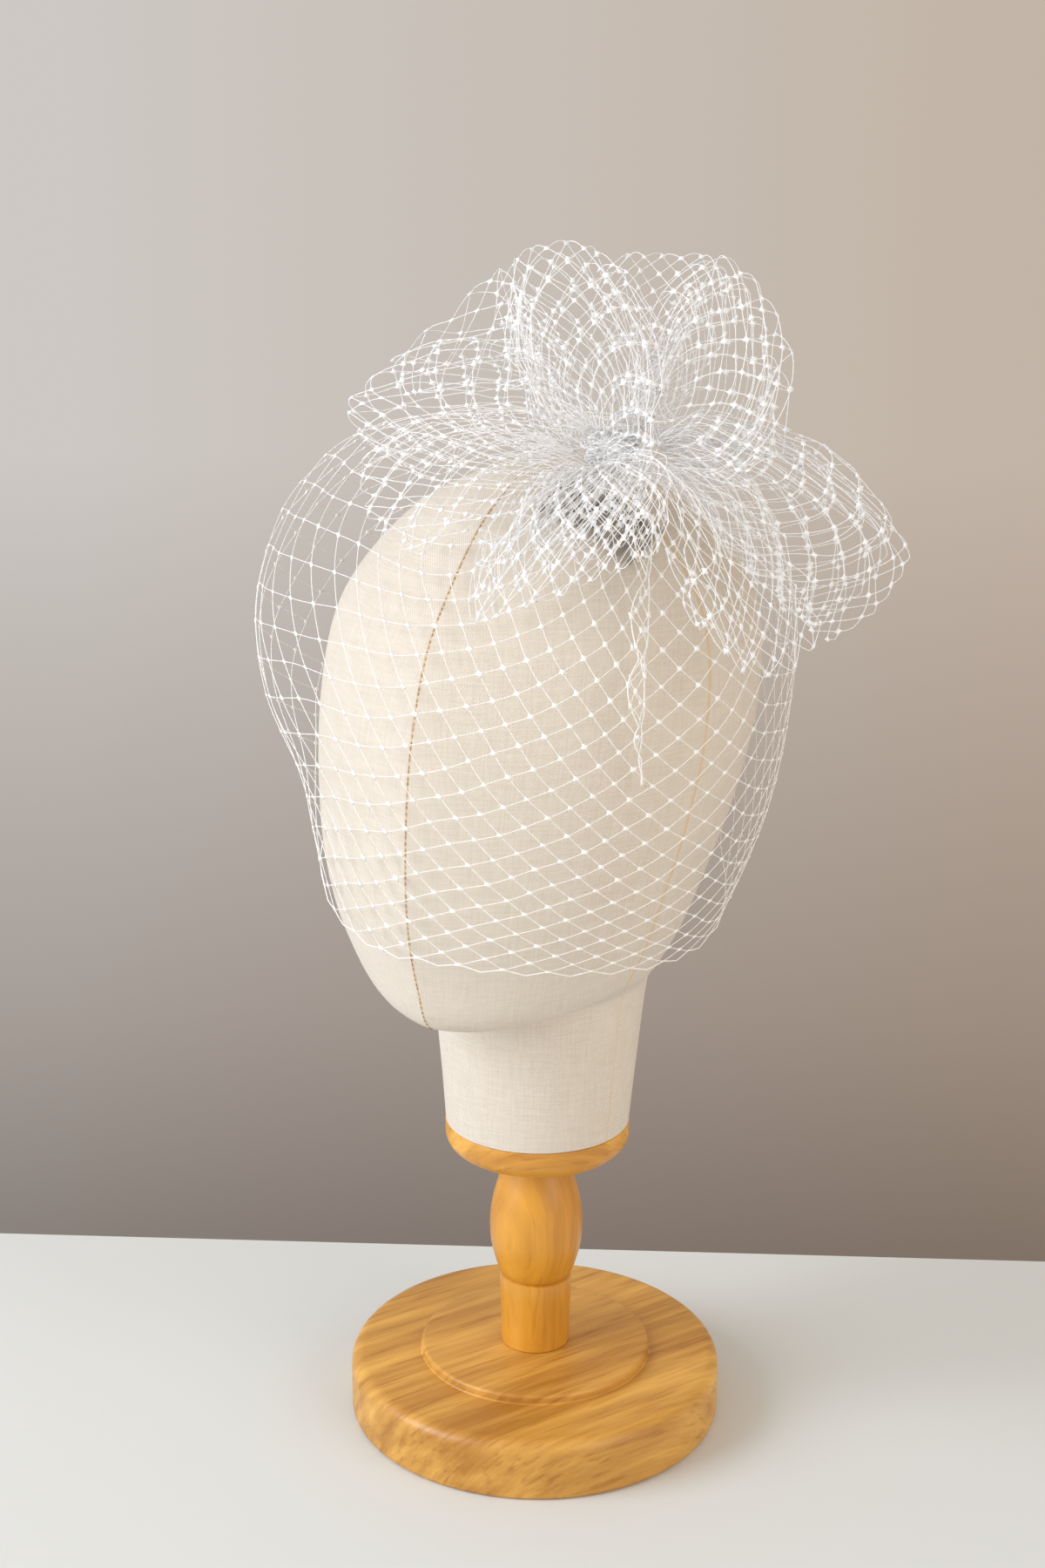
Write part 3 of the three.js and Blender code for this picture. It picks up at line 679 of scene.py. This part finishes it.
def cagePlace(turn, share):
    spot = turn / (2 * math.pi) * cageTurns
    k = math.floor(spot)
    low, high = (placeAt(cageLengths[(k + i) % cageTurns], min(max(share, 0), 1)) for i in (0, 1))
    return low + (high - low) * (spot - k)


def cageTurn(side, u, rise):  # columns crowd towards the tuck as they rise
    start, join, end = (math.radians(cageNet[k]) for k in ("startDegrees", "joinDegrees", "endDegrees"))
    crowd = min(cageNet["crowd"] * rise, cageNet["crowdMost"]) * u * (1 - u)
    if side == "front":
        return start + (join - start) * (u + crowd)
    return join + (end - join) * (u - crowd * cageNet["backCrowd"])


def grownShare(rise):  # cells lie flat at the hem and stand taller further up
    close, reach = cageNet["hemClose"], cageNet["hemReach"]
    return rise * (1 + close) - close * reach * (1 - math.exp(-rise / reach))


def onCage(side, u, rise):
    turn = cageTurn(side, u, rise)
    share = grownShare(rise) / grownShare(1)
    share -= cageNet["sink"] * 4 * share * (1 - share) * math.sin(turn - cageNet["sinkTurn"])  # rows sink to the left
    place = cagePlace(turn, share)
    point = cagePoint(place * cageTops, cageTurn(side, u, place))
    outward = (point - cageHeart).normalized()
    puff = max(noise.noise(point * cageNet["puffScale"]), cageNet["puffLeast"])
    return point + outward * puff * cageNet["puff"] * mm


cageTuck = dict(
    low=0.5, high=0.93, cells=(1, 9), hinge=0.75,
    pinches=(0, 0.12, 0.25, 0.51, 0.8, 1.1),  # where the fold is drawn shut, from its lower end up
    widths=(0.6, 2.4, 7.5, 8.5, 8.5),  # how far it opens between them
    lean=((0, 3.6), (0.25, 0.0), (0.51, -1.8), (1, 0.0)),  # how far it strays from the join
    sway=0.7, swayWaves=(23, 2), off=0.5, lift=2.2, liftLeast=0.7, liftVary=0.3, liftWaves=(11, 3),
)


def tuckWave(kind, u, v):
    up, across = cageTuck[kind]
    return math.sin(up * v + across * u)


def onTuck(u, v):  # a narrow fold that fades into the cage at its lower end
    lobe = next(k for k, end in enumerate(cageTuck["pinches"][1:]) if v <= end)
    start, end = cageTuck["pinches"][lobe:lobe + 2]
    opening = cageTuck["widths"][lobe] * math.sin(math.pi * (v - start) / (end - start))
    stops = [place for place, shift in cageTuck["lean"]]
    step = max(k for k in range(len(stops) - 1) if stops[k] <= v)
    share = (v - stops[step]) / (stops[step + 1] - stops[step])
    lean = cageTuck["lean"][step][1] * (1 - share) + cageTuck["lean"][step + 1][1] * share
    aside = lean - opening * (cageTuck["hinge"] - u) + cageTuck["sway"] * tuckWave("swayWaves", u, v)
    point = onCage("front", 1, cageTuck["low"] + (cageTuck["high"] - cageTuck["low"]) * v)
    outward = (point - cageHeart).normalized()
    along = Vector((0, 0, 1)).cross(outward).normalized()
    uneven = cageTuck["liftLeast"] + cageTuck["liftVary"] * tuckWave("liftWaves", u, v)
    return point + (along * aside + outward * (cageTuck["off"] + cageTuck["lift"] * v * uneven)) * mm


def layCage(name, side, selvedges, seed, node):
    columns, rows = cageNet["columns"][side], cageNet["rows"]

    def place(u, v):
        ends, hem, top = cageNet["driftFade"]
        free = min(1, ends * u, ends * (1 - u)) * min(1, hem * v, top * (1 - v))  # the ends and the hem stay put
        drift, scale = cageNet["drift"] * free, cageNet["driftScale"]
        wander = noise.noise_vector(Vector((u * columns * scale, v * rows * scale, seed)))
        driftedU = min(max(u + wander.x * drift / columns, 0), 1)
        driftedV = min(max(v + wander.y * drift / rows, 0), 1)
        point = onCage(side, driftedU, driftedV)
        if v < 1e-4:  # the hem hangs in scallops
            point.z -= cageNet["scallop"] * mm * (1 - abs(2 * ((u * columns) % 1) - 1))
        return point

    layers = [((columns, rows), place, selvedges)]
    if side == "front":
        layers.append((cageTuck["cells"], onTuck, ("left", "right")))
    piece = layNet(name, layers, seed, [node], "cage")


layCage("net_cage_front", "front", ("bottom", "left"), 3, "veil_front")
layCage("net_cage_back", "back", ("bottom", "right"), 4, "veil_back")

loopNet = dict(
    edgeCrowd=0.12, endTrim=0.035, innerOpen=0.55, rootGap=1.1, rootHalf=6, rootOpen=0.25,
    tangle=3.0, tangleScale=75, tangleLeast=0.3, tanglePower=1.5,
    crumple=2.2, crumpleScale=(6, 3, 7.3), ripple=2.0, ripples=4.5,
    narrowing=1.2, leastCells=4, layerSeeds=30, samples=64, edgeProbe=0.02,
)
# root, bend, fan of the bend, half opening, cells across and sizes of the layers,
# then the folded edge, in the rosette's frame
rosetteLoops = [
    ("loop_top", (22, -40, 427.5), (12, -43, 460), 1.30, 11, 8, (1, 0.93),
     [(-11, -30, 471), (-14, -26, 485), (-7, -24, 494), (7, -26, 498), (21.5, -28, 492), (33, -32, 475), (36, -37, 457)]),
    ("loop_top_left", (38, -34.5, 428.5), (69, -42, 458.5), 1.35, 11, 9, (1, 0.93),
     [(48, -30, 460), (53, -26, 478), (64, -24, 492), (77.5, -28, 485), (86, -33, 468), (87.5, -38, 449), (83, -42, 435)]),
    ("loop_back_left", (32, -28, 424), (44, 0, 460), 0.90, 8, 5, (1,),
     [(21.5, 14, 487), (37, 20, 491), (54, 22, 491), (68.5, 20, 487), (76, 14, 474)]),
    ("loop_back_right", (17, -29, 424), (-8, 0, 452), 0.90, 8, 5, (1,),
     [(-60, 20, 449), (-40.5, 24, 465), (-22, 26, 481), (-14, 26, 480), (-5, 20, 471)]),
    ("loop_right", (8, -38, 423), (-30.5, -39.5, 443), 1.20, 10, 8, (1,),
     [(-20, -18, 459), (-37, -24, 456.5), (-57, -30, 453.5), (-72, -34, 442), (-72.5, -40, 432), (-63.5, -46, 422)]),
    ("loop_brow", (12, -49, 417), (-26, -70, 427), 0.90, 6, 5, (1,),
     [(-65, -52, 421), (-68, -56, 413), (-66, -62, 401.5), (-59, -66, 393), (-48, -72, 386.5)]),
    ("loop_left", (44, -41, 421), (86, -50, 418), 0.80, 7.5, 7, (1, 0.92),
     [(94, -35, 420), (108.5, -38, 418), (124.5, -44, 403), (137, -49, 386), (126, -54, 367.5), (107.5, -60, 353.5)]),
    ("loop_temple", (38, -48, 417), (62, -92, 414), 0.90, 6, 6, (1,),
     [(103, -68, 354), (89.5, -76, 347), (77, -84, 345), (64.5, -92, 355.5), (52, -98, 369.5)]),
    ("loop_forehead", (25, -49, 417), (8, -88, 418), 1.00, 7, 9, (1, 0.8, 0.64, 0.52, 0.42),
     [(-20, -84, 387.5), (-26.5, -94, 367), (-10.5, -100, 372), (7, -104, 380), (25, -104, 388), (40, -98, 393.5)]),
]


def layLoop(index, row):
    name, root, bend, spread, opening, across, sizes, edge = row
    root, bend, last = Vector(root), Vector(bend), len(edge) - 1
    turned = Matrix.Rotation(rosetteTurn, 3, "Z")

    def foldAt(v):
        return Vector([alongRows(edge, k, v * last) for k in range(3)])

    centre = foldAt(0.5)
    sideways = (foldAt(1) - foldAt(0)).normalized()

    def onLoop(loop, v, extra, size):
        reach = 0.5 - 0.5 * math.cos(2 * math.pi * loop)
        fold = root + (foldAt(v) - root) * size
        start = root + sideways * loopNet["rootHalf"] * (2 * v - 1)
        turnAt = bend + (foldAt(v) - centre) * spread
        turnAt = root + (turnAt - root) * size
        spine = start * (1 - reach) ** 2 + turnAt * (2 * reach * (1 - reach)) + fold * reach * reach
        forward = (turnAt - start) * (1 - reach) + (fold - turnAt) * reach
        probe = loopNet["edgeProbe"]
        edgeway = foldAt(min(v + probe, 1)) - foldAt(max(v - probe, 0))
        out = forward.cross(edgeway).normalized()
        opened = loopNet["rootOpen"] + (1 - loopNet["rootOpen"]) * reach
        gap = opening * (1 if size == 1 else loopNet["innerOpen"]) * opened * math.sin(2 * math.pi * loop)
        gap += loopNet["rootGap"] * math.cos(math.pi * loop)
        return turned @ (spine + out * (gap + extra * reach)) * mm

    trim = loopNet["endTrim"]
    layers = []
    for layer, size in enumerate(sizes):
        seed = index + loopNet["layerSeeds"] * layer
        wide = max(round(across * size ** loopNet["narrowing"]), loopNet["leastCells"])

        def onTrimmed(u, v, extra=0.0, size=size):
            return onLoop(trim + (1 - 2 * trim) * u, v, extra, size)

        def widthAt(u, onTrimmed=onTrimmed, wide=wide):  # one cell's width, from the middle tenth of the loop
            return (onTrimmed(u, 0.55) - onTrimmed(u, 0.45)).length * 10 / wide

        places, long = cellPlaces(lambda u: onTrimmed(u, 0.5), widthAt, loopNet["samples"])

        def place(u, v, seed=seed, places=places, onTrimmed=onTrimmed):
            alongScale, acrossScale, seedScale = loopNet["crumpleScale"]
            crumple = noise.noise(Vector((u * alongScale, v * acrossScale, seed * seedScale))) * loopNet["crumple"]
            crumple += loopNet["ripple"] * math.sin(loopNet["ripples"] * math.pi * v + seed)
            edged = v - loopNet["edgeCrowd"] * math.sin(2 * math.pi * v) / (2 * math.pi)
            point = onTrimmed(placeAt(places, u), edged, crumple)
            least = loopNet["tangleLeast"]
            tangle = loopNet["tangle"] * (least + (1 - least) * abs(2 * u - 1) ** loopNet["tanglePower"]) * mm
            return point + noise.noise_vector(point * loopNet["tangleScale"] + Vector((seed, 0, 0))) * tangle

        layers.append(((round(long), wide), place, ("bottom",) if name == "loop_left" else ()))
    piece = layNet("net_" + name, layers, 20 + index, [name], "rosette")


for index, row in enumerate(rosetteLoops):
    layLoop(index, row)

gather = dict(centre=(26, -39, 421.5), size=(10, 6, 9), cells=(26, 7), seed=50, poles=(0.03, 0.97),
              crumple=0.5, crumpleScale=3.1, fine=0.1, fineScale=9.7, core=0.6, coreVary=0.05, coreWaves=(6, 40))


def makeGather():
    turned = Matrix.Rotation(rosetteTurn, 3, "Z")
    centre = Vector(gather["centre"])

    def onBunch(way, share):
        rough = 1 + gather["crumple"] * noise.noise(way * gather["crumpleScale"])
        rough += gather["fine"] * noise.noise(way * gather["fineScale"])
        return turned @ (Vector([a * s * share * rough for a, s in zip(way, gather["size"])]) + centre) * mm

    def place(u, v):
        low, high = gather["poles"]
        turn, tilt = 2 * math.pi * u, math.pi * (low + (high - low) * v)
        return onBunch(Vector((math.cos(tilt), math.sin(tilt) * math.cos(turn), math.sin(tilt) * math.sin(turn))), 1)

    piece = layNet("net_gather", [(gather["cells"], place, ())], gather["seed"], ["gather_knot"], "rosette")
    bm = bmesh.new()
    bmesh.ops.create_icosphere(bm, subdivisions=5, radius=1)
    acrossWaves, depthWaves = gather["coreWaves"]
    for vert in bm.verts:
        wave = math.sin(depthWaves * vert.co.y + acrossWaves * vert.co.x)
        vert.co = onBunch(vert.co.copy(), gather["core"] + gather["coreVary"] * wave)
    bm.from_mesh(piece.data)
    bm.to_mesh(piece.data)
    bm.free()
    piece.data.shade_smooth()


makeGather()

for piece in bpy.context.scene.objects:
    if piece.type == "MESH" and piece.name.split(".")[0] == "comb":
        piece.data.materials.clear()
        piece.data.materials.append(combMaterial)
print("net laid")

viewTurn = math.radians(31.0)
tableLook = dict(turn=math.radians(29.15), back=0.141, front=1.6, half=2.2, thick=0.03,
                 cloth=toLinear(218, 221, 219), roughness=0.9)


def makeTable():
    depth = tableLook["back"] + tableLook["front"]
    middle = (tableLook["back"] - tableLook["front"]) / 2
    turned = Matrix.Rotation(tableLook["turn"], 3, "Z")
    bm = bmesh.new()
    bmesh.ops.create_cube(bm, size=1)
    for vert in bm.verts:
        x, y, z = vert.co
        vert.co = turned @ Vector((x * 2 * tableLook["half"], y * depth + middle, (z - 0.5) * tableLook["thick"]))
    mesh = bpy.data.meshes.new("table")
    bm.to_mesh(mesh)
    bm.free()
    table = bpy.data.objects.new("table", mesh)
    bpy.context.scene.collection.objects.link(table)
    cloth, _, _ = newMaterial("tableCloth", Base_Color=tableLook["cloth"], Roughness=tableLook["roughness"])
    mesh.materials.append(cloth)


makeTable()

wallLook = dict(  # a plain wall, darker towards the table and warmer to the right
    tones=(toLinear(115, 106, 100), toLinear(165, 156, 150), toLinear(205, 200, 195)), heights=(0.0, 0.23, 0.62),
    warm=toLinear(242, 230, 218), rise=(-0.5, 0.1), across=(-0.2, 0.2),
)


def makeWall():
    world = bpy.data.worlds.new("studio")
    bpy.context.scene.world = world
    world.use_nodes = True
    tree = world.node_tree
    where = addNode(tree, "ShaderNodeTexCoord")
    turn = addNode(tree, "ShaderNodeMapping", Rotation=(0, 0, -viewTurn))
    axes = addNode(tree, "ShaderNodeSeparateXYZ")
    tree.links.new(where.outputs["Generated"], turn.inputs["Vector"])
    tree.links.new(turn.outputs[0], axes.inputs[0])
    rise = rangeNode(tree, axes.outputs["Z"], *wallLook["rise"])
    across = rangeNode(tree, axes.outputs["X"], *wallLook["across"])
    tone = rampOf(tree, rise, list(zip(wallLook["heights"], wallLook["tones"])))
    wall = mixNode(tree, across, tone.outputs["Color"], wallLook["warm"], blend="MULTIPLY")
    tree.links.new(wall, tree.nodes["Background"].inputs["Color"])
    tree.nodes["Background"].inputs["Strength"].default_value = 1.0


makeWall()

photoView = dict(place=(457.812, -761.926, 530.667), lens=52, sensor=36, right=(0.85166, 0.52404, 0.00773),
                 up=(-0.14806, 0.22643, 0.96271), forward=(-0.50274, 0.82105, -0.27043))


def makeCamera():
    data = bpy.data.cameras.new("photoCamera")
    data.lens, data.sensor_width = photoView["lens"], photoView["sensor"]
    camera = bpy.data.objects.new("photoCamera", data)
    right, up, forward = (Vector(photoView[k]) for k in ("right", "up", "forward"))
    facing = Matrix((right, up, -forward)).transposed().to_4x4()
    camera.matrix_world = Matrix.Translation(Vector(photoView["place"]) * mm) @ facing
    bpy.context.scene.collection.objects.link(camera)
    bpy.context.scene.camera = camera


makeCamera()

lights = {
    "window": dict(side=-1.75, away=-0.7, height=1.1, size=1.3, power=38, colour=(0.935, 0.99, 1.075)),
    "fill": dict(side=1.3, away=-1.2, height=0.9, size=1.5, power=14, colour=(1.0, 0.97, 0.93)),
}
lightAim = Vector((0, 0, 0.3))


def addLight(name, side, away, height, size, power, colour):
    data = bpy.data.lights.new(name, "AREA")
    data.size, data.energy, data.color = size, power, colour
    light = bpy.data.objects.new(name, data)
    light.location = Matrix.Rotation(viewTurn, 3, "Z") @ Vector((side, away, height))
    light.rotation_euler = (lightAim - light.location).to_track_quat("-Z", "Y").to_euler()
    bpy.context.scene.collection.objects.link(light)


for name, light in lights.items():
    addLight(name, **light)
bpy.context.scene.view_settings.view_transform = "Standard"
print("stage set")

bpy.data.objects.remove(knotShape)
